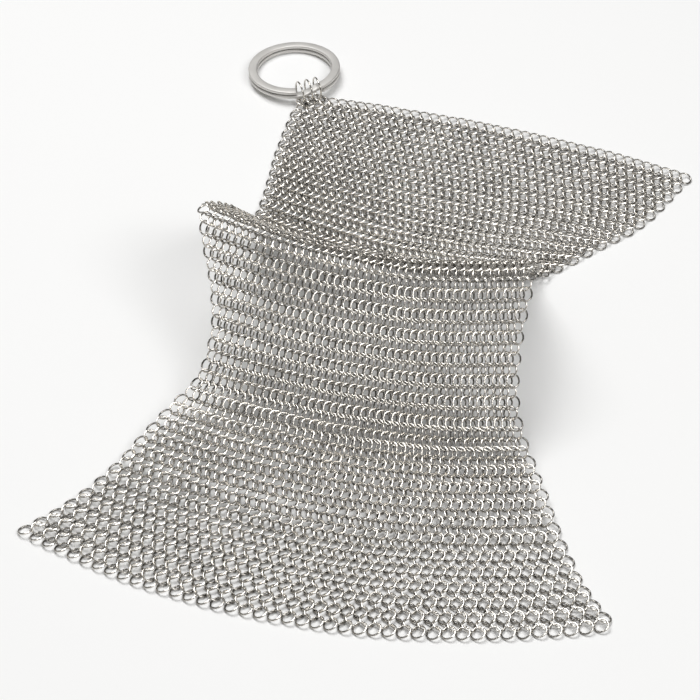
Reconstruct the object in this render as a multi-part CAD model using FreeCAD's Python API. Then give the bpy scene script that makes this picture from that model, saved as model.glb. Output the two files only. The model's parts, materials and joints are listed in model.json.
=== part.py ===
# Ring-mail pot scrubber with a split hanging ring, lying draped as it was put down.
#
# Millimetres, +Z up. X runs along the rows of rings and Y from the front edge to the back edge.
# The front of the mail lies flat, then climbs to a ridge, drops behind it and lies flat again.
# The mail is cut across into bands of a few rows. Each band is a ridged strip, one ridge for each pair of rows,
# open between its ridges, and it hinges on the next one, as a row of rings turns in the row beside it.
import FreeCAD
import Part
import math
import os

from FreeCAD import Placement, Rotation, Vector

# Weave
columns = 42
rows = 84
rows_per_band = 4
ring_diameter = 4.8
ring_wire = 0.6
mail_thickness = 2.2
valley_thickness = 1.3
rest_depth = 0.25
edge_thickness = 0.7

# Path of the mail from front to back, seen from the side
front_run = 33.5
rise_run = 37.0
rise_angle = 8.0
steep_angle = 46.0
ridge_height = 41.0
inner_angle = 46.0
back_run = 77.0
rise_radius = 90.0
foot_radius = 26.0
ridge_radius = 7.0
landing_radius = 22.0

# Plan of the mail, seen from above
front_width = 171.0
front_bow = 17.0
back_shift = 17.7
back_turn = -6.2
# row, width, bow, sideways shift and turn of a few rows, as shares of the values above
plan_shares = (
    (0.00, 1.00, 0.98, 0.00, 0.00),
    (0.07, 0.885, 0.74, 0.00, 0.00),
    (0.15, 0.77, 0.62, 0.01, 0.00),
    (0.24, 0.66, 0.47, -0.01, 0.05),
    (0.31, 0.56, 0.35, 0.03, 0.16),
    (0.38, 0.545, 0.41, -0.05, 0.31),
    (0.48, 0.60, 0.55, -0.27, 0.45),
    (0.58, 0.58, 0.64, -0.25, 0.62),
    (0.69, 0.55, 0.49, -0.19, 0.76),
    (0.78, 0.63, 0.28, 0.20, 0.90),
    (0.88, 0.73, -0.08, 0.62, 1.00),
    (1.00, 0.80, -0.30, 1.00, 1.00),
)

# Fold between two bands
fold_gap = 0.8
fold_gap_at_ends = 2.5

# Openings through each band, between its two ridges
openings = 8
opening_width_share = 0.5
opening_reach = 12.0

# Corner of the mail that carries the hanging ring
corner_cut = 5.5
corner_turn = 40.0
corner_shift = 2.2
corner_rings = 3
corner_pitch = 3.2
corner_seat = 0.5

# Link rings between the corner and the hanging ring
link_diameter = 8.0
link_wire = 0.6
link_play = 0.19
bar_set = 0.7

# Hanging ring: one flat wire wound twice round
hanger_diameter = 32.0
hanger_width = 3.0
coil_thickness = 1.2
coil_gap = 0.42
coil_chamfer = 0.3
step_angle = 30.0
step_sections = 5
step_place = 180.0
end_play = 3.0
floor_play = 0.05

# Sizes that follow
ring_radius = (ring_diameter - ring_wire) / 2
lean = math.asin((mail_thickness - ring_wire) / (2 * ring_radius))
mid_height = mail_thickness / 2 - rest_depth
bands = rows // rows_per_band
link_radius = (link_diameter - link_wire) / 2
hanger_radius = (hanger_diameter - hanger_width) / 2
coil_pitch = coil_thickness + coil_gap
hanger_height = coil_thickness + coil_pitch


def smooth(table, share, column):
    """Read one column of a table at a share of the rows, along a cubic through its points."""
    last = len(table) - 2
    at = max(i for i in range(last + 1) if i == 0 or table[i][0] <= share)
    low, high = table[at], table[at + 1]
    span = high[0] - low[0]
    before = table[at - 1] if at > 0 else low
    after = table[at + 2] if at < last else high
    slope_low = (high[column] - before[column]) / (high[0] - before[0])
    slope_high = (after[column] - low[column]) / (after[0] - low[0])
    t = (share - low[0]) / span
    bend_in = t * (1 - t) * (1 - t)
    bend_out = t * t * (t - 1)
    step = t * t * (3 - 2 * t)
    value = low[column] + (high[column] - low[column]) * step
    return value + span * (slope_low * bend_in + slope_high * bend_out)


def plan(row):
    """Width, bow, sideways shift and turn of one row."""
    share = row / (rows - 1)
    width = front_width * smooth(plan_shares, share, 1)
    bow = front_bow * smooth(plan_shares, share, 2)
    shift = back_shift * smooth(plan_shares, share, 3)
    turn = math.radians(back_turn) * smooth(plan_shares, share, 4)
    return width, bow, shift, turn


def path_corners():
    """Corners of the side path with the bend radius at each."""
    steep, inner = math.radians(steep_angle), math.radians(inner_angle)
    rise = math.radians(rise_angle)
    half_turn = (steep + inner) / 2
    peak = ridge_height + ridge_radius * (1 / math.cos(half_turn) - 1)
    foot = Vector(front_run + rise_run * math.cos(rise), rise_run * math.sin(rise), 0)
    top = Vector(foot.x + (peak - foot.y) / math.tan(steep), peak, 0)
    landing = Vector(top.x + peak / math.tan(inner), 0, 0)
    return (
        (Vector(0, 0, 0), 0),
        (Vector(front_run, 0, 0), rise_radius),
        (foot, foot_radius),
        (top, ridge_radius),
        (landing, landing_radius),
        (Vector(landing.x + back_run, 0, 0), 0),
    )


def path_pieces():
    """Straight runs and arcs of the side path: start, heading, length and change of heading."""
    corners = path_corners()
    headings = []
    for (here, _), (there, _) in zip(corners, corners[1:]):
        headings.append(math.atan2(there.y - here.y, there.x - here.x))
    pieces, start = [], corners[0][0]
    for i, heading in enumerate(headings):
        corner, radius = corners[i + 1]
        change = headings[i + 1] - heading if i + 1 < len(headings) else 0
        trim = radius * math.tan(abs(change) / 2)
        along = Vector(math.cos(heading), math.sin(heading), 0)
        end = corner - along * trim
        pieces.append((start, heading, (end - start).Length, 0))
        if change:
            pieces.append((end, heading, radius * abs(change), change))
            leave = heading + change
            end = corner + Vector(math.cos(leave), math.sin(leave), 0) * trim
        start = end
    return pieces


PATH = path_pieces()
PATH_LENGTH = sum(piece[2] for piece in PATH)


def on_path(distance):
    """Place (along Y, up) and heading at a distance along the side path, straight on past its ends."""
    left = distance
    for start, heading, length, change in PATH[:-1]:
        if left <= length:
            break
        left -= length
    else:
        start, heading, length, change = PATH[-1]
    if not change:
        return start + Vector(math.cos(heading), math.sin(heading), 0) * left, heading
    turn = change * left / length
    radius = length / change
    reach = Vector(math.sin(heading + turn) - math.sin(heading), math.cos(heading) - math.cos(heading + turn), 0)
    return start + reach * radius, heading + turn


def weave_pitch(row):
    """Distance from a row to the next where the rings pull tight: narrower mail is longer."""
    spread = plan(row)[0] / columns / 4 / math.cos(lean)
    return 2 * math.sqrt(ring_radius**2 - spread**2) - ring_wire


def row_distances():
    """Distance of each row's ring centres along the path, with the weave evenly slack."""
    tight = [0.0]
    for row in range(rows - 1):
        tight.append(tight[-1] + weave_pitch(row + 1 / 2))
    edge = ring_diameter / 2
    slack = (PATH_LENGTH - 2 * edge) / tight[-1]
    return [edge + slack * distance for distance in tight]


ROW_AT = row_distances()


def row_distance(row):
    """Distance along the path at a row number, which may lie between rows or past the ends."""
    at = min(max(math.floor(row), 0), rows - 2)
    return ROW_AT[at] + (ROW_AT[at + 1] - ROW_AT[at]) * (row - at)


def side_point(row, across, ahead, height):
    """Point of the mail above its middle, ahead of a row, at a share across from -1 to 1, without its X."""
    place, heading = on_path(row_distance(row) + ahead)
    width, bow, _, turn = plan(row)
    sideways = width / 2 * across * math.sin(turn)
    y = place.x + bow * across**2 + sideways - height * math.sin(heading)
    return Vector(0, y, place.y + mid_height + height * math.cos(heading))


def side_x(row, across):
    """X of the mail at a row and a share across."""
    width, _, shift, turn = plan(row)
    return shift + width / 2 * across * math.cos(turn)


def corner_placement():
    """Frame on the floor at the cut corner: X points from the mail to the hanging ring, Z up."""
    row = rows - 1
    corner = side_point(row, -1, ring_diameter / 2, 0) + Vector(side_x(row, -1), 0, 0)
    heading = math.radians(90 + back_turn + corner_turn)
    out = Vector(math.cos(heading), math.sin(heading), 0)
    along = Vector(-math.sin(heading), math.cos(heading), 0)
    spot = Vector(corner.x, corner.y, 0) - out * corner_cut - along * corner_shift
    return Placement(spot, Rotation(Vector(0, 0, 1), math.degrees(heading)))


CORNER = corner_placement()


def band_rows(band):
    """Row numbers at the front and back edge of a band."""
    return band * rows_per_band - 1 / 2, (band + 1) * rows_per_band - 1 / 2


def band_outline(band, across):
    """Row, distance ahead and half thickness of a band's edges, ridges and valley at a share across."""
    front, back = band_rows(band)
    gap = fold_gap + (fold_gap_at_ends - fold_gap) * across**2
    edge, valley, ridge = edge_thickness / 2, valley_thickness / 2, mail_thickness / 2
    near, far = (front, gap / 2, edge), (back, -gap / 2, edge)
    if band == 0:
        near = (0, -ring_diameter / 2, edge)
    if band == bands - 1:
        far = (rows - 1, ring_diameter / 2, edge)
    middle = (front + back) / 2
    return [near, ((front + middle) / 2, 0, ridge), (middle, 0, valley), ((middle + back) / 2, 0, ridge), far]


def flat_feet(outline):
    """The outline of a band's lower side, with each ridge cut flat where it rests."""
    feet = []
    for i, point in enumerate(outline):
        if i % 2 == 0:
            feet.append(point)
            continue
        for side in (outline[i - 1], outline[i + 1]):
            share = (mid_height - side[2]) / (point[2] - side[2])
            feet.append([a + (b - a) * share for a, b in zip(side, point)])
    return feet


def band_section(band, across):
    """Corners of a band's section at a share across, in one plane: the upper side, then the lower side back."""
    outline = band_outline(band, across)
    upper = [side_point(row, across, ahead, half) for row, ahead, half in outline]
    lower = [side_point(row, across, ahead, -half) for row, ahead, half in flat_feet(outline)]
    first = (upper[0] + lower[0]) / 2
    chord = (upper[-1] + lower[-1]) / 2 - first
    start = side_x(outline[0][0], across)
    slant = side_x(outline[-1][0], across) - start
    points = []
    for point in upper + lower[::-1]:
        share = (point - first).dot(chord) / chord.dot(chord)
        points.append(point + Vector(start + slant * share, 0, 0))
    return points


def mail_point(row, across):
    """Middle of the mail at a row and a share across."""
    return side_point(row, across, 0, 0) + Vector(side_x(row, across), 0, 0)


def band_spans(band):
    """Shares across where a band's ribs and openings meet, and whether each span is open."""
    middle = sum(band_rows(band)) / 2
    marks, spans = [-1], []
    for i in range(openings):
        centre = (2 * i + 1) / openings - 1
        half = opening_width_share / openings
        marks += [centre - half, centre + half]
        spans += [False, mail_point(middle, centre).distanceToPoint(CORNER.Base) > opening_reach]
    return marks + [1], spans + [False]


def flat_face(section, corners):
    """Flat face between some corners of a section."""
    points = [section[i] for i in corners]
    return Part.Face(Part.makePolygon(points + points[:1]))


def span_faces(section, following, corners):
    """Faces from a section to the next one, round some of its corners: flat where they can be, else ruled."""
    faces = []
    for i, j in zip(corners, corners[1:] + corners[:1]):
        edge = Part.makePolygon([section[i], section[j], following[j], following[i], section[i]])
        if edge.findPlane():
            faces.append(Part.Face(edge))
            continue
        here = Part.makeLine(section[i], section[j])
        there = Part.makeLine(following[i], following[j])
        faces.append(Part.makeRuledSurface(here, there))
    return faces


def mail_band(band):
    """One band of the mail: two ridged bars joined by ribs, with an opening between each rib and the next."""
    marks, spans = band_spans(band)
    sections = [band_section(band, across) for across in marks]
    # Corners of a section, by number, round the whole band, round each bar beside an opening, and between the bars
    whole = tuple(range(len(sections[0])))
    front_bar, back_bar, between_bars = (0, 1, 9, 10, 11), (3, 4, 5, 6, 7), (1, 2, 3, 7, 8, 9)
    faces = [flat_face(sections[0], whole), flat_face(sections[-1], whole)]
    for i, is_open in enumerate(spans):
        for corners in (front_bar, back_bar) if is_open else (whole,):
            faces += span_faces(sections[i], sections[i + 1], corners)
        if is_open:
            faces += [flat_face(sections[i], between_bars), flat_face(sections[i + 1], between_bars)]
    skin = Part.makeCompound(faces)
    skin.sewShape()
    solid = Part.Solid(skin.Shells[0])
    if solid.Volume < 0:
        solid.reverse()
    return solid


def wire_ring(radius, wire):
    """Ring of six-sided wire about Z."""
    points = []
    for i in range(6):
        angle = math.radians(60 * i)
        points.append(Vector(radius + wire / 2 * math.cos(angle), 0, wire / 2 * math.sin(angle)))
    return Part.Face(Part.makePolygon(points + points[:1])).revolve(Vector(0, 0, 0), Vector(0, 0, 1), 360)


eye_height = mail_thickness / 2
seat_out = ring_radius - corner_seat
eye_out = seat_out + ring_radius
link_height = eye_height + link_radius - link_wire / 2 - ring_wire / 2 - link_play
bar_out = eye_out - bar_set


def corner_places():
    """Places along the cut corner of its rings and of the link rings."""
    return [corner_pitch * (i - (corner_rings - 1) / 2) for i in range(corner_rings)]


def ringed_corner(band):
    """The last band with its corner cut away and the corner's rings standing out of the cut."""
    size = front_width
    cut = Part.makeBox(size, size, size, Vector(0, -size / 2, -size / 2))
    cut.Placement = CORNER
    shape = band.cut(cut)
    for place in corner_places():
        ring = wire_ring(ring_radius, ring_wire)
        ring.Placement = CORNER * Placement(
            Vector(seat_out, place, eye_height), Rotation(Vector(1, 0, 0), math.degrees(lean))
        )
        shape = shape.fuse(ring)
    return shape


def link_ring(place):
    """Link ring standing upright in a corner ring, round the hanging ring's bar."""
    ring = wire_ring(link_radius, link_wire)
    upright = Rotation(Vector(1, 0, 0), 90)
    ring.Placement = CORNER * Placement(Vector(eye_out, place, link_height), upright)
    return ring


def wire_section(angle, level):
    """Flat wire's section at an angle round the hanging ring, with its lower face at a level."""
    inner, outer = hanger_radius - hanger_width / 2, hanger_radius + hanger_width / 2
    low, high = level, level + coil_thickness
    c = coil_chamfer
    outline = (
        (inner, low),
        (outer - c, low),
        (outer, low + c),
        (outer, high - c),
        (outer - c, high),
        (inner, high),
    )
    turn = Rotation(Vector(0, 0, 1), angle)
    points = [turn.multVec(Vector(radius, 0, height)) for radius, height in outline]
    return Part.makePolygon(points + points[:1])


def hanging_ring():
    """Split ring: a lower coil, a step up and an upper coil of one flat wire."""
    low = -hanger_height / 2
    high = low + coil_pitch
    step_from, step_to = step_place - step_angle / 2, step_place + step_angle / 2
    sweep = 360 - step_angle - end_play
    axis = Vector(0, 0, 1)
    lower = Part.Face(wire_section(step_from, low)).revolve(Vector(0, 0, 0), axis, -sweep)
    upper = Part.Face(wire_section(step_to, high)).revolve(Vector(0, 0, 0), axis, sweep)
    sections = []
    for i in range(step_sections):
        share = i / (step_sections - 1)
        level = low + coil_pitch * share * share * (3 - 2 * share)
        sections.append(wire_section(step_from + step_angle * share, level))
    step = Part.makeLoft(sections, True, True)
    ring = lower.fuse([step, upper]).removeSplitter()
    ring.Placement = hanger_placement()
    return ring


def hanger_placement():
    """The hanging ring leans from the links down to the floor at its far side."""
    drop = link_height - hanger_height / 2 - floor_play
    tilt = math.asin(drop / (hanger_radius + hanger_diameter / 2))
    centre = Vector(
        bar_out + hanger_radius * math.cos(tilt), 0, link_height - hanger_radius * math.sin(tilt)
    )
    return CORNER * Placement(centre, Rotation(Vector(0, 1, 0), math.degrees(tilt)))


def all_pieces():
    """Every piece by name, with the middle of the whole part's base at the origin."""
    pieces = {}
    for band in range(bands):
        pieces[f"mail_band_{band + 1:02d}"] = mail_band(band)
    last = f"mail_band_{bands:02d}"
    pieces[last] = ringed_corner(pieces[last])
    for i, place in enumerate(corner_places()):
        pieces[f"link_ring_{i + 1}"] = link_ring(place)
    pieces["hanging_ring"] = hanging_ring()
    box = Part.makeCompound(list(pieces.values())).BoundBox
    home = Vector(-box.Center.x, -box.Center.y, 0)
    for piece in pieces.values():
        piece.translate(home)
    return pieces, home


PIECES, HOME = all_pieces()
os.makedirs("parts", exist_ok=True)
for name, piece in PIECES.items():
    piece.exportStep(f"parts/{name}.step")
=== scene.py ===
"""Ring mail pot scrubber: every wire ring of the draped mail, its corner links and the split hanging ring.

Lengths are in millimetres until a mesh is made, which is in metres in the frame of the solids.
X runs along the rows of rings, Y from the front edge to the back edge, Z up.
"""
import json
import math

import bpy
import numpy as np
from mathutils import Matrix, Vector


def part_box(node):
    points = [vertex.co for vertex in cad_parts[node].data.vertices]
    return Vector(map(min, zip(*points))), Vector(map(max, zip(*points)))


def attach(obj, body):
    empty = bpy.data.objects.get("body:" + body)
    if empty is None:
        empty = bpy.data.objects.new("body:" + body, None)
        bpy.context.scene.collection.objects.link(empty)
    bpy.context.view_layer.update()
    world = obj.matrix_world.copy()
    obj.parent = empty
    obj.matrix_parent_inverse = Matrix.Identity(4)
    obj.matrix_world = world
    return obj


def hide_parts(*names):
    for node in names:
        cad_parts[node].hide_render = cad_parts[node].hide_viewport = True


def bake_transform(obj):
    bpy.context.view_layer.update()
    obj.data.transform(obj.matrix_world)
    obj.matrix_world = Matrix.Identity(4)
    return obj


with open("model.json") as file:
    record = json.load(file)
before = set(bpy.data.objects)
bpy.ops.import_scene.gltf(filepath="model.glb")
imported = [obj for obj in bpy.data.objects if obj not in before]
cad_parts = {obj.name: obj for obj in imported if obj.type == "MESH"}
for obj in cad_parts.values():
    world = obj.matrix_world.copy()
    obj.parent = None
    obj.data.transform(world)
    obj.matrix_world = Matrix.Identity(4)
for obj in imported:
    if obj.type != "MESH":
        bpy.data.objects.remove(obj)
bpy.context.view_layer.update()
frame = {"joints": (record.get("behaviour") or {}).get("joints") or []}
JOINTS = {joint["name"]: joint for joint in frame["joints"]}
MM = 0.001

# Weave
COLUMNS = 42
ROWS = 84
ROWS_PER_BAND = 4
BANDS = ROWS // ROWS_PER_BAND
RING_DIAMETER = 4.8
RING_WIRE = 0.6
MAIL_THICKNESS = 2.2
RING_RADIUS = (RING_DIAMETER - RING_WIRE) / 2
LEAN = math.asin((MAIL_THICKNESS - RING_WIRE) / (2 * RING_RADIUS))
RING_STEPS = 14
RING_SIDES = 5
ROW_STAGGER = 0.5

# Side path of the drape: runs, slopes and bend radii from front to back
FRONT_RUN = 33.5
RISE_RUN = 37.0
RISE_ANGLE = math.radians(8.0)
STEEP_ANGLE = math.radians(46.0)
RIDGE_HEIGHT = 41.0
INNER_ANGLE = math.radians(46.0)
BACK_RUN = 77.0
RISE_RADIUS = 90.0
FOOT_RADIUS = 26.0
RIDGE_RADIUS = 7.0
LANDING_RADIUS = 22.0

# Plan of the drape; the folds are set at a share of the half width
FOLD_ACROSS = 0.5
FRONT_WIDTH = 171.0
FRONT_BOW = 17.0
BACK_SHIFT = 17.7
BACK_TURN = math.radians(-6.2)
# row, width, bow, sideways shift and turn of a few rows, as shares of the values above
PLAN_SHARES = np.array((
    (0.00, 1.00, 0.98, 0.00, 0.00),
    (0.07, 0.885, 0.74, 0.00, 0.00),
    (0.15, 0.77, 0.62, 0.01, 0.00),
    (0.24, 0.66, 0.47, -0.01, 0.05),
    (0.31, 0.56, 0.35, 0.03, 0.16),
    (0.38, 0.545, 0.41, -0.05, 0.31),
    (0.48, 0.60, 0.55, -0.27, 0.45),
    (0.58, 0.58, 0.64, -0.25, 0.62),
    (0.69, 0.55, 0.49, -0.19, 0.76),
    (0.78, 0.63, 0.28, 0.20, 0.90),
    (0.88, 0.73, -0.08, 0.62, 1.00),
    (1.00, 0.80, -0.30, 1.00, 1.00),
))

# Corner and hanging ring
CORNER_RINGS = 3
CORNER_PITCH = 3.2
CORNER_SEAT = 0.5
CORNER_CLEAR = 0.4
LINK_DIAMETER = 8.0
LINK_WIRE = 0.6
HANGER_DIAMETER = 32.0
HANGER_WIDTH = 3.0
COIL_THICKNESS = 1.2
COIL_GAP = 0.42
COIL_ROUND = 0.38
STEP_ANGLE = math.radians(30.0)
STEP_PLACE = math.radians(180.0)
END_PLAY = math.radians(3.0)
LINK_STEPS = 40
LINK_SIDES = 12
COIL_STEPS = 300
COIL_CORNER_POINTS = 5

# Small unevenness of hand-laid mail; the row pitch is a round one, to turn the wander into rows
RING_SHAKE = 0.06
LEAN_SHAKE = math.radians(2.0)
TURN_SHAKE = math.radians(2.5)
WANDER = 0.45
WANDER_ROW_PITCH = 3.0
LAY_WAVES = (2.0, 3.5, 5.5, 8.0)
RING_SEED = 11
ROW_SEED = 3
ACROSS_SEED = 5

# Finishes: linear colours, noise scales per metre, depths of marks in metres.
# Brightness is painted shade by height, each ring's high side painted light and low side painted shade, plus
# random tone by tint and patches.
# Roughness is its least value, then what patches or clouds add, then what marks add.
# The wire's dark end holds painted shade and dark random tone; its bright end holds painted light and pale
# random tone.
WIRE_DARK_TONE_AND_SHADE = (0.09, 0.085, 0.077)
WIRE_BRIGHT_TONE_AND_LIGHT = (0.97, 0.931, 0.868)
WIRE_SHADE_AND_TONE_WEIGHTS = (0.72, 0.24, 0.24)
WIRE_ROUGHNESS = (0.06, 0.12, 0.06)
PATCH_SCALE = 420.0
DRAW_MARK_SCALE = 5200.0
DRAW_MARK_DEPTH = 0.00004
DRAW_MARK_STRENGTH = 0.12
STEEL_DULL = (0.65, 0.637, 0.614)
STEEL_PALE = (0.76, 0.745, 0.718)
STEEL_ROUGHNESS = (0.50, 0.14, 0.06)
CLOUD_SCALE = 160.0
TUMBLE_MARK_SCALE = 3600.0
TUMBLE_MARK_DEPTH = 0.00006
TUMBLE_MARK_STRENGTH = 0.15
CORNER_TINTS = (0.3, 0.8)
LINK_TINT = 0.6
# Painted shade of the links: one mid level of the wire's shade by height, for each whole link.
LINK_PAINTED_SHADE = 0.45

# Studio, in metres: floor, room and lamps by name, place, size and power.
# The room turns from its walls to its ceiling between two heights of a unit direction.
FLOOR_SIDE = 8.0
FLOOR_COLOUR = (0.88, 0.88, 0.875, 1.0)
FLOOR_ROUGHNESS = 0.7
ROOM_WALLS = (0.10, 0.10, 0.10)
ROOM_CEILING = (0.30, 0.298, 0.295)
ROOM_TURN = (0.1, 0.9)
LAMPS = (
    ("key_softbox", (-0.35, 0.3, 1.2), 0.7, 11.3),
    ("fill_softbox", (0.8, -0.5, 1.1), 0.6, 7.2),
)

# Camera: where it looks, from which side, and its focal length in pixels of a 700 pixel frame.
# The clips are in metres.
LOOK_AT = (-8.3, -17.1, 0.0)
AZIMUTH = math.radians(11.8)
ELEVATION = math.radians(44.65)
DISTANCE = 764.0
FOCAL_PIXELS = 2460.0
FRAME_PIXELS = 700.0
SENSOR_WIDTH = 36.0
NEAR_CLIP = 0.01
FAR_CLIP = 20.0


def path_table():
    """Straight runs and tangent arcs of the side path.

    Each row of the table is start y, start z, heading, length and change of heading.
    """
    half_turn = (STEEP_ANGLE + INNER_ANGLE) / 2
    peak = RIDGE_HEIGHT + RIDGE_RADIUS * (1 / math.cos(half_turn) - 1)
    foot_y = FRONT_RUN + RISE_RUN * math.cos(RISE_ANGLE)
    foot_z = RISE_RUN * math.sin(RISE_ANGLE)
    top_y = foot_y + (peak - foot_z) / math.tan(STEEP_ANGLE)
    landing_y = top_y + peak / math.tan(INNER_ANGLE)
    back_y = landing_y + BACK_RUN
    corners = np.array(((0, 0), (FRONT_RUN, 0), (foot_y, foot_z), (top_y, peak), (landing_y, 0), (back_y, 0)))
    radii = (RISE_RADIUS, FOOT_RADIUS, RIDGE_RADIUS, LANDING_RADIUS, 0.0)
    runs = np.diff(corners, axis=0)
    headings = np.arctan2(runs[:, 1], runs[:, 0])
    changes = np.append(np.diff(headings), 0.0)
    table, start = [], corners[0]
    for corner, heading, change, radius in zip(corners[1:], headings, changes, radii):
        trim = radius * math.tan(abs(change) / 2)
        end = corner - trim * np.array((math.cos(heading), math.sin(heading)))
        table.append((*start, heading, np.hypot(*(end - start)), 0.0))
        start = end
        if change:
            table.append((*end, heading, radius * abs(change), change))
            start = corner + trim * np.array((math.cos(heading + change), math.sin(heading + change)))
    return np.array(table)


PATH = path_table()
PATH_ENDS = np.cumsum(PATH[:, 3])


def on_path(distance):
    """y, z and heading at distances along the side path.

    A run is start + s (cos h, sin h), and a bend is an arc of radius length / change of heading.
    """
    piece = np.minimum(np.searchsorted(PATH_ENDS, distance), len(PATH) - 1)
    y, z, heading, length, change = np.moveaxis(PATH[piece], -1, 0)
    along = distance - (PATH_ENDS[piece] - length)
    bent = change != 0
    safe = np.where(bent, change, 1.0)
    turned = heading + np.where(bent, change * along / length, 0.0)
    radius = length / safe
    y = y + np.where(bent, radius * (np.sin(turned) - np.sin(heading)), along * np.cos(heading))
    z = z + np.where(bent, radius * (np.cos(heading) - np.cos(turned)), along * np.sin(heading))
    return y, z, turned


def plan(row):
    """Width, bow, sideways shift and turn of rows.

    A cubic runs through the table's points, with the slope from neighbour to neighbour at each.
    """
    share = np.asarray(row, float) / (ROWS - 1)
    keys, values = PLAN_SHARES[:, 0], PLAN_SHARES[:, 1:]
    at = np.clip(np.searchsorted(keys, share, side="right") - 1, 0, len(keys) - 2)
    before, after = np.maximum(at - 1, 0), np.minimum(at + 2, len(keys) - 1)
    span = (keys[at + 1] - keys[at])[..., None]
    slope_in = (values[at + 1] - values[before]) / (keys[at + 1] - keys[before])[..., None]
    slope_out = (values[after] - values[at]) / (keys[after] - keys[at])[..., None]
    t = (share - keys[at])[..., None] / span
    step = t * t * (3 - 2 * t)
    bend = span * (slope_in * t * (1 - t) ** 2 + slope_out * t * t * (t - 1))
    shares = values[at] + (values[at + 1] - values[at]) * step + bend
    return np.moveaxis(shares * (FRONT_WIDTH, FRONT_BOW, BACK_SHIFT, BACK_TURN), -1, 0)


def row_places():
    """Distance of each row along the path.

    The tight weave's row pitch is 2 sqrt(R^2 - (p / 4 cos lean)^2) - wire, at a pitch p along the row.
    All rows are then slackened alike, to fill the path.
    """
    spread = plan(np.arange(ROWS - 1) + 0.5)[0] / COLUMNS / 4 / math.cos(LEAN)
    tight = np.append(0.0, np.cumsum(2 * np.sqrt(RING_RADIUS**2 - spread**2) - RING_WIRE))
    edge = RING_DIAMETER / 2
    return edge + (PATH_ENDS[-1] - 2 * edge) / tight[-1] * tight


ROW_AT = row_places()


def row_distance(row):
    """Distance along the path at row numbers, straight on past the first and last row."""
    at = np.clip(np.floor(row).astype(int), 0, ROWS - 2)
    return ROW_AT[at] + (ROW_AT[at + 1] - ROW_AT[at]) * (row - at)


def home():
    """Shift from the drape's own frame, with zero at its front edge's middle, to the solids' frame."""
    low = np.array(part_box("mail_band_01")[0]) / MM
    return np.array((low[0] + FRONT_WIDTH / 2, low[1], 0.0))


HOME = home()


def mail_point(row, across):
    """Middle of the mail at row numbers and shares across from -1 to 1.

    x = shift + w/2 u cos t, y = path y + bow u^2 + w/2 u sin t, z = path z + half the thickness.
    """
    y, z, heading = on_path(row_distance(row))
    width, bow, shift, turn = plan(row)
    side = width / 2 * across
    point = (shift + side * np.cos(turn), y + bow * across**2 + side * np.sin(turn), z + MAIL_THICKNESS / 2)
    return np.stack(point, axis=-1) + HOME


def unit(vectors):
    """Vectors divided by their lengths."""
    return vectors / np.linalg.norm(vectors, axis=-1, keepdims=True)


def mail_axes(row, across):
    """Unit vectors along the row, up the weave and out of the mail, from differences of the surface."""
    half_row, half_share = 0.5, 0.01
    along = mail_point(row, across + half_share) - mail_point(row, across - half_share)
    up_weave = mail_point(row + half_row, across) - mail_point(row - half_row, across)
    out = unit(np.cross(along, up_weave))
    up_weave = unit(up_weave)
    return np.cross(up_weave, out), up_weave, out


def wander(row, across, seed):
    """Slow unevenness of the lay: a sum of a few waves over the mail with random headings and phases."""
    rng = np.random.default_rng(seed)
    total = np.zeros(np.broadcast(row, across).shape)
    for waves in LAY_WAVES:
        heading, phase = rng.uniform(0, 2 * math.pi, 2)
        place = across * math.cos(heading) + 2 * row / ROWS * math.sin(heading)
        total += np.sin(waves * place * 2 + phase) / waves
    return total


def ring_vertices(centres, first, second, radius, wire, steps=RING_STEPS, sides=RING_SIDES):
    """Tori, as an array of rings, steps, sides and xyz.

    A point is centre + (R + r cos t) (cos p first + sin p second) + r sin t (first x second).
    """
    p = np.linspace(0, 2 * math.pi, steps, endpoint=False)[:, None]
    t = np.linspace(0, 2 * math.pi, sides, endpoint=False)
    spoke = np.cos(p) * first[:, None, :] + np.sin(p) * second[:, None, :]
    axis = np.cross(first, second)
    reach = (radius + wire / 2 * np.cos(t))[None, None, :, None] * spoke[:, :, None, :]
    rise = (wire / 2 * np.sin(t))[None, None, :, None] * axis[:, None, None, :]
    return centres[:, None, None, :] + reach + rise


def grid_faces(count, steps, sides, closed=True):
    """Quads of count grids of steps by sides points, closed round the sides and, if asked, the steps."""
    i = np.arange(steps if closed else steps - 1)[:, None]
    j = np.arange(sides)[None, :]
    i_next, j_next = (i + 1) % steps, (j + 1) % sides
    here, there = i * sides, i_next * sides
    quad = np.stack((here + j, there + j, there + j_next, here + j_next), axis=-1).reshape(-1, 4)
    return (np.arange(count)[:, None, None] * (steps * sides) + quad).reshape(-1, 4)


def make_piece(name, points, faces, material, caps=()):
    """Mesh object from points in millimetres, quads and any end caps, smooth, with one material."""
    mesh = bpy.data.meshes.new(name)
    polygons = faces.tolist() + [list(cap) for cap in caps]
    mesh.from_pydata((points.reshape(-1, 3) * MM).tolist(), [], polygons)
    mesh.polygons.foreach_set("use_smooth", np.ones(len(mesh.polygons), bool))
    mesh.materials.append(material)
    mesh.update()
    piece = bpy.data.objects.new(name, mesh)
    bpy.context.scene.collection.objects.link(piece)
    return piece


def painted_shade_heights(leans, steps, sides):
    """Painted shade of each ring's points by their height in the mail, 0 to 1: (1 + cos p) / 2, p from the
    side that leans up.
    """
    p = np.linspace(0, 2 * math.pi, steps, endpoint=False)
    return np.repeat(0.5 + 0.5 * leans[:, None] * np.cos(p), sides, axis=1).ravel()


def add_values(piece, name, values):
    """A named value for each point of a piece."""
    attribute = piece.data.attributes.new(name, "FLOAT", "POINT")
    attribute.data.foreach_set("value", values.astype(np.float32))


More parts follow.
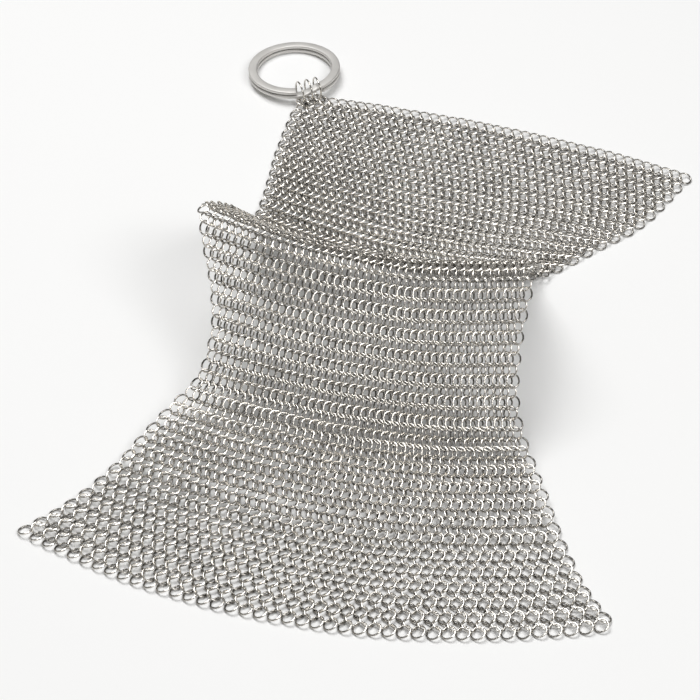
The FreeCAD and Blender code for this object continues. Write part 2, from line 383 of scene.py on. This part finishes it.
class Shade:
    """A socket of one material's nodes, with arithmetic that adds Math nodes."""

    def __init__(self, tree, socket):
        self.tree = tree
        self.socket = socket

    def node(self, kind, settings=None, **inputs):
        """A new node: its settings first, then values or links of its sockets, by name or as _number."""
        made = self.tree.nodes.new(kind)
        for key, value in (settings or {}).items():
            setattr(made, key, value)
        for key, value in inputs.items():
            slot = made.inputs[int(key[1:])] if key[0] == "_" else made.inputs[key.replace("_", " ")]
            if isinstance(value, Shade):
                self.tree.links.new(value.socket, slot)
            else:
                slot.default_value = value
        return made

    def of(self, made, output=0):
        """One output of a node as a value."""
        return Shade(self.tree, made.outputs[output])

    def maths(self, operation, first, second):
        """A Math node on two values."""
        return self.of(self.node("ShaderNodeMath", {"operation": operation}, _0=first, _1=second))

    def __add__(self, other):
        return self.maths("ADD", self, other)

    def __radd__(self, other):
        return self.maths("ADD", other, self)

    def __sub__(self, other):
        return self.maths("SUBTRACT", self, other)

    def __rsub__(self, other):
        return self.maths("SUBTRACT", other, self)

    def __mul__(self, other):
        return self.maths("MULTIPLY", self, other)

    def __rmul__(self, other):
        return self.maths("MULTIPLY", other, self)


def new_material(name):
    """An empty node material with its Principled shader and a Shade to add nodes with."""
    material = bpy.data.materials.new(name)
    material.use_nodes = True
    tree = material.node_tree
    shader = tree.nodes["Principled BSDF"]
    return material, shader, Shade(tree, None)


def noise(shade, coordinates, scale, detail):
    """Noise from 0 to 1 over the given coordinates."""
    made = shade.node("ShaderNodeTexNoise", None, Vector=coordinates, Scale=scale, Detail=detail)
    return shade.of(made)


def mix_colours(shade, factor, low, high):
    """A colour between two."""
    made = shade.node("ShaderNodeMix", {"data_type": "RGBA"}, _0=factor, _6=(*low, 1.0), _7=(*high, 1.0))
    return shade.of(made, 2)


def connect(shade, shader, **values):
    """Link values to a shader's sockets by name."""
    for name, value in values.items():
        shade.tree.links.new(value.socket, shader.inputs[name.replace("_", " ")])


def drawn_wire():
    """Drawn stainless wire: painted light where a ring leans up and painted shade below, with draw marks and
    dull patches.
    """
    material, shader, shade = new_material("drawn_wire")
    place = shade.of(shade.node("ShaderNodeTexCoord"), 3)
    tint = shade.of(shade.node("ShaderNodeAttribute", {"attribute_name": "tint"}), 2)
    # The height values are painted shade: dark on each ring's low side, light on its high side.
    height = shade.of(shade.node("ShaderNodeAttribute", {"attribute_name": "height"}), 2)
    patches = noise(shade, place, PATCH_SCALE, 2.0)
    marks = noise(shade, place, DRAW_MARK_SCALE, 3.0)
    by_painted_shade, by_tint, by_patch = WIRE_SHADE_AND_TONE_WEIGHTS
    # Painted shade and light by height, plus random tone by tint and patches.
    shade_and_tone = by_painted_shade * height + by_tint * tint + by_patch * patches
    least, dull, drawn = WIRE_ROUGHNESS
    connect(
        shade, shader,
        Base_Color=mix_colours(shade, shade_and_tone, WIRE_DARK_TONE_AND_SHADE, WIRE_BRIGHT_TONE_AND_LIGHT),
        Roughness=least + dull * patches + drawn * marks,
    )
    bump = shade.node(
        "ShaderNodeBump", None,
        Strength=DRAW_MARK_STRENGTH, Distance=DRAW_MARK_DEPTH, Height=marks,
    )
    connect(shade, shader, Normal=shade.of(bump))
    shader.inputs["Metallic"].default_value = 1.0
    return material


def tumbled_steel():
    """Satin tumbled steel of the hanging ring: soft grey, fine marks along the wire and dull spots."""
    material, shader, shade = new_material("tumbled_steel")
    place = shade.of(shade.node("ShaderNodeTexCoord"), 3)
    cloud = noise(shade, place, CLOUD_SCALE, 4.0)
    marks = noise(shade, place, TUMBLE_MARK_SCALE, 2.0)
    least, dull, tumbled = STEEL_ROUGHNESS
    connect(
        shade, shader,
        Base_Color=mix_colours(shade, cloud, STEEL_DULL, STEEL_PALE),
        Roughness=least + dull * cloud + tumbled * marks,
    )
    bump = shade.node(
        "ShaderNodeBump", None,
        Strength=TUMBLE_MARK_STRENGTH, Distance=TUMBLE_MARK_DEPTH, Height=marks,
    )
    connect(shade, shader, Normal=shade.of(bump))
    shader.inputs["Metallic"].default_value = 1.0
    return material


def corner_frame():
    """Eye point of the middle link, and unit vectors to the hanging ring and along the corner."""
    eye = np.array(JOINTS["link_swing"]["pos_m"]) / MM
    along = np.array(JOINTS["link_swing"]["axis"], float)
    return eye, np.cross(along, (0.0, 0.0, 1.0)), along


EYE, OUT, ALONG = corner_frame()
SEAT = EYE - OUT * RING_RADIUS
CUT_OUT = RING_RADIUS + (RING_RADIUS - CORNER_SEAT)


def mail_rings():
    """Centres, plane axes, fold distance, tint and lean of the mail's rings, without the cut corner."""
    rng = np.random.default_rng(RING_SEED)
    row, column = np.meshgrid(np.arange(ROWS, dtype=float), np.arange(COLUMNS), indexing="ij")
    across = 2 * (column + ROW_STAGGER / 2 + ROW_STAGGER * (row % 2)) / COLUMNS - 1
    width, bow, _, _ = plan(row)
    shaken_row = row + WANDER / WANDER_ROW_PITCH * wander(row, across, ROW_SEED)
    shaken_across = across + WANDER * 2 / width * wander(row, across, ACROSS_SEED)
    centres = mail_point(shaken_row, shaken_across)
    along, up_weave, out = mail_axes(shaken_row, shaken_across)
    centres = centres + RING_SHAKE * rng.standard_normal(centres.shape) * (1.0, 1.0, 0.0)
    lean = np.where(row % 2 == 0, LEAN, -LEAN) + LEAN_SHAKE * rng.standard_normal(row.shape)
    turn = TURN_SHAKE * rng.standard_normal(row.shape)
    sideways = np.cos(turn)[..., None] * along + np.sin(turn)[..., None] * up_weave
    second = np.cos(turn)[..., None] * up_weave - np.sin(turn)[..., None] * along
    first = np.cos(lean)[..., None] * sideways + np.sin(lean)[..., None] * out
    heading = on_path(row_distance(row))[2]
    fold = row_distance(row) + bow * (across**2 - FOLD_ACROSS**2) * np.cos(heading)
    kept = (centres - EYE) @ OUT < -CUT_OUT - CORNER_CLEAR
    tints = rng.uniform(0, 1, row.shape)
    return centres[kept], first[kept], second[kept], fold[kept], tints[kept], np.sign(lean[kept])


def band_middle(band):
    """Row number in the middle of a band, counted from 0."""
    return np.array(band * ROWS_PER_BAND + (ROWS_PER_BAND - 1) / 2)


def fold_point(band):
    """Middle point between the mail's points half way out to each side, in the middle of a band."""
    left, right = mail_point(band_middle(band), -FOLD_ACROSS), mail_point(band_middle(band), FOLD_ACROSS)
    return (left + right) / 2


def lay_mail(material):
    """The mail in pieces, each from a band's middle to the next one's."""
    centres, first, second, fold, tints, leans = mail_rings()
    middles = row_distance(band_middle(np.arange(1, BANDS - 1)))
    cell = np.searchsorted(middles, fold)
    for k in range(BANDS - 1):
        here = cell == k
        rings = ring_vertices(centres[here], first[here], second[here], RING_RADIUS, RING_WIRE)
        faces = grid_faces(len(rings), RING_STEPS, RING_SIDES)
        piece = make_piece(f"mail_rings_{k + 1:02d}", rings, faces, material)
        add_values(piece, "tint", np.repeat(tints[here], RING_STEPS * RING_SIDES))
        # Painted shade and light by each point's height in the mail.
        add_values(piece, "height", painted_shade_heights(leans[here], RING_STEPS, RING_SIDES))
        start, end = fold_point(k), fold_point(k + 1)
        axis = np.array(JOINTS[f"fold_{k + 1:02d}"]["axis"])
        end = end - axis * ((end - start) @ axis)
        start * MM
        end * MM
        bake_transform(piece)
        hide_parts(f"mail_band_{k + 1:02d}")
        if k == BANDS - 2:
            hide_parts(f"mail_band_{k + 2:02d}")


def corner_offsets():
    """Offsets of the corner's rings and links along the cut corner."""
    return CORNER_PITCH * (np.arange(CORNER_RINGS) - (CORNER_RINGS - 1) / 2)


def lay_corner(material):
    """The corner's rings, leaning like their row, which the links hang in."""
    centres = SEAT + corner_offsets()[:, None] * ALONG
    first = np.tile(math.cos(LEAN) * ALONG + math.sin(LEAN) * np.array((0, 0, 1.0)), (CORNER_RINGS, 1))
    second = np.tile(-OUT, (CORNER_RINGS, 1))
    rings = ring_vertices(centres, first, second, RING_RADIUS, RING_WIRE)
    piece = make_piece("corner_rings", rings, grid_faces(len(rings), RING_STEPS, RING_SIDES), material)
    add_values(piece, "tint", np.repeat(np.linspace(*CORNER_TINTS, CORNER_RINGS), RING_STEPS * RING_SIDES))
    # Painted shade and light by height in the mail, as for the other rings.
    add_values(piece, "height", painted_shade_heights(np.ones(CORNER_RINGS), RING_STEPS, RING_SIDES))
    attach(piece, f"band_{BANDS:02d}")


def hang_links(material):
    """The link rings, upright in the corner's rings and round the hanging ring's bar."""
    steps, sides = LINK_STEPS, LINK_SIDES
    radius = (LINK_DIAMETER - LINK_WIRE) / 2
    for i in range(CORNER_RINGS):
        name = f"link_ring_{i + 1}"
        low, high = (np.array(corner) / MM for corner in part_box(name))
        centre = ((low + high) / 2)[None]
        ring = ring_vertices(centre, OUT[None], np.array(((0, 0, 1.0),)), radius, LINK_WIRE, steps, sides)
        piece = make_piece(f"link_{i + 1}", ring, grid_faces(1, steps, sides), material)
        add_values(piece, "tint", np.full(steps * sides, LINK_TINT))
        # One painted shade level for the whole link.
        add_values(piece, "height", np.full(steps * sides, LINK_PAINTED_SHADE))
        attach(piece, "corner_links")
        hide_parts(name)


def rounded_section(width, height, corner, points_each):
    """Closed outline of a rounded rectangle: four quarter circles, points_each points in each."""
    turn = np.linspace(0, math.pi / 2, points_each)
    quarters = []
    for i, (x, y) in enumerate(((1, 1), (-1, 1), (-1, -1), (1, -1))):
        angle = turn + i * math.pi / 2
        centre = np.array((x * (width / 2 - corner), y * (height / 2 - corner)))
        quarters.append(centre + corner * np.stack((np.cos(angle), np.sin(angle)), axis=-1))
    return np.concatenate(quarters)


def hang_ring(material):
    """The split ring: a rounded section carried twice round, level but for one smooth step up."""
    steps = COIL_STEPS
    radius = (HANGER_DIAMETER - HANGER_WIDTH) / 2
    pitch = COIL_THICKNESS + COIL_GAP
    bar = np.array(JOINTS["ring_flip"]["pos_m"]) / MM
    low, high = (np.array(corner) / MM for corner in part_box("hanging_ring"))
    middle = (low + high) / 2
    outwards = middle - bar
    outwards = unit(outwards - ALONG * (outwards @ ALONG))
    upwards = np.cross(outwards, ALONG)
    centre = bar + outwards * radius
    sweep = 2 * math.pi - STEP_ANGLE - END_PLAY
    half = STEP_ANGLE / 2
    angle = np.linspace(STEP_PLACE - half - sweep, STEP_PLACE + half + sweep, steps)
    share = np.clip((angle - STEP_PLACE + half) / STEP_ANGLE, 0, 1)
    level = pitch * (share * share * (3 - 2 * share) - 0.5)
    section = rounded_section(HANGER_WIDTH, COIL_THICKNESS, COIL_ROUND, COIL_CORNER_POINTS)
    spoke = np.cos(angle)[:, None] * outwards + np.sin(angle)[:, None] * ALONG
    reach = (radius + section[None, :, 0])[..., None] * spoke[:, None, :]
    rise = (level[:, None] + section[None, :, 1])[..., None] * upwards
    points = centre + reach + rise
    sides = len(section)
    last = (steps - 1) * sides
    caps = (range(sides - 1, -1, -1), range(last, last + sides))
    piece = make_piece("split_ring", points, grid_faces(1, steps, sides, closed=False), material, caps)
    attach(piece, "hanging_ring")
    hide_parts("hanging_ring")


def lay_floor():
    """Plain pale floor, large enough for every view."""
    half = FLOOR_SIDE / 2
    mesh = bpy.data.meshes.new("floor")
    corners = [(-half, -half, 0), (half, -half, 0), (half, half, 0), (-half, half, 0)]
    mesh.from_pydata(corners, [], [(0, 1, 2, 3)])
    material, shader, _ = new_material("pale_floor")
    shader.inputs["Base Color"].default_value = FLOOR_COLOUR
    shader.inputs["Roughness"].default_value = FLOOR_ROUGHNESS
    mesh.materials.append(material)
    floor = bpy.data.objects.new("floor", mesh)
    bpy.context.scene.collection.objects.link(floor)


def add_lamp(name, place, size, power):
    """A square softbox at a place in metres, facing the object."""
    lamp = bpy.data.lights.new(name, "AREA")
    lamp.size = size
    lamp.energy = power
    holder = bpy.data.objects.new(name, lamp)
    holder.location = place
    holder.rotation_euler = (-Vector(place)).to_track_quat("-Z", "Y").to_euler()
    bpy.context.scene.collection.objects.link(holder)


def light_studio():
    """Soft studio light: a room bright overhead and dark at the walls, and a large lamp on each side."""
    world = bpy.data.worlds.new("studio")
    world.use_nodes = True
    background = world.node_tree.nodes["Background"]
    shade = Shade(world.node_tree, None)
    way = shade.of(shade.node("ShaderNodeTexCoord"), 0)
    up = shade.of(shade.node("ShaderNodeSeparateXYZ", None, Vector=way), 2)
    smooth = {"interpolation_type": "SMOOTHSTEP"}
    low, high = ROOM_TURN
    rise = shade.of(shade.node("ShaderNodeMapRange", smooth, _0=up, _1=low, _2=high))
    connect(shade, background, Color=mix_colours(shade, rise, ROOM_WALLS, ROOM_CEILING))
    bpy.context.scene.world = world
    for lamp in LAMPS:
        add_lamp(*lamp)


def place_camera():
    """Camera at the photograph's angle."""
    camera = bpy.data.cameras.new("camera")
    camera.sensor_width = SENSOR_WIDTH
    camera.lens = SENSOR_WIDTH * FOCAL_PIXELS / FRAME_PIXELS
    camera.clip_start = NEAR_CLIP
    camera.clip_end = FAR_CLIP
    level = math.cos(ELEVATION)
    back = Vector((math.sin(AZIMUTH) * level, -math.cos(AZIMUTH) * level, math.sin(ELEVATION)))
    holder = bpy.data.objects.new("camera", camera)
    holder.location = (Vector(LOOK_AT) + back * DISTANCE) * MM
    holder.rotation_euler = (-back).to_track_quat("-Z", "Y").to_euler()
    bpy.context.scene.collection.objects.link(holder)
    bpy.context.scene.camera = holder


wire = drawn_wire()
lay_mail(wire)
lay_corner(wire)
hang_links(wire)
hang_ring(tumbled_steel())
lay_floor()
light_studio()
place_camera()
bpy.context.scene.view_settings.view_transform = "Standard"
